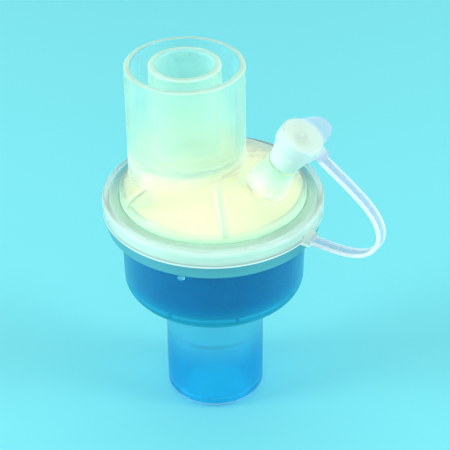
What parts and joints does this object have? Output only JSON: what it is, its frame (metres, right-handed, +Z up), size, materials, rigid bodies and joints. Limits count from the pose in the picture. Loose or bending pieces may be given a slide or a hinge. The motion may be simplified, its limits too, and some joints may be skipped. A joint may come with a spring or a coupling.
{
  "type": "heat and moisture exchanger",
  "caption": "Breathing circuit heat and moisture exchanger: flanged round housing, offset coaxial connector above, port below, capped sampling port with strap.",
  "frame": {"origin": "centre of the machine port's end face, on the port's axis", "axes": "+Z up the machine port's axis to the patient side, +X to the side of the gas sampling port"},
  "size_m": [0.065, 0.048, 0.082],
  "materials": {
    "milky_plastic": "milky, see-through in thin walls, smooth",
    "clear_plastic": "clear with a faint blue tint, polished",
    "soft_plastic": "soft, milky, satin",
    "filter_fibre": "white needled fibre",
    "foam": "open-cell foam, dark blue"
  },
  "bodies": {
    "housing": {"upper_housing": "milky_plastic", "lower_housing": "clear_plastic", "tether_ring": "soft_plastic", "cap_strap": "soft_plastic", "filter_pad": "filter_fibre", "exchanger_foam": "foam"},
    "cap": {"luer_cap": "soft_plastic"}
  },
  "joints": [
    {"name": "cap_pull", "type": "slide", "parent": "housing", "child": "cap", "axis": [0.5, 0, 0.866], "range_m": [0, 0.012], "deforming": ["cap_strap"]}
  ]
}
